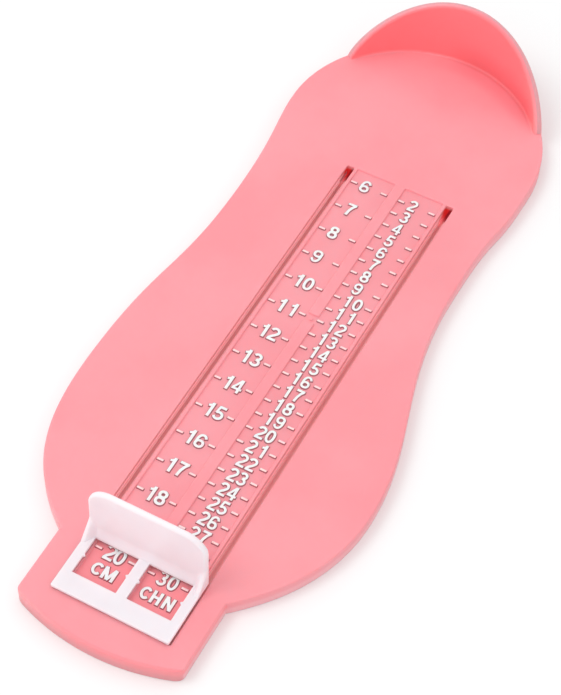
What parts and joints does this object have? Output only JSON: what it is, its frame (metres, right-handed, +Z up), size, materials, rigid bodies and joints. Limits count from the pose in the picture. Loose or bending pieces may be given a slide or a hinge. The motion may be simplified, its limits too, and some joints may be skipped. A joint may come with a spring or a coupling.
{
  "type": "foot measuring board",
  "caption": "Foot-shaped plastic board with an arched heel cup, two long slots beside two recessed length scales, and a sliding upright toe stop with two reading windows.",
  "frame": {"origin": "on the resting surface, under the middle of the board's bounding box", "axes": "+Y runs along the scales towards the heel cup, +X to the right seen from the toe end, +Z up from the resting surface"},
  "size_m": [0.089, 0.2272, 0.026],
  "materials": {
    "pink_abs": "satin moulded",
    "white_abs": "satin moulded"
  },
  "bodies": {
    "board": {"base": "pink_abs"},
    "toe_stop": {"slider": "white_abs"}
  },
  "joints": [
    {"name": "toe_stop_slide", "type": "slide", "parent": "board", "child": "toe_stop", "axis": [0, 1, 0], "range_m": [0, 0.1449]}
  ]
}
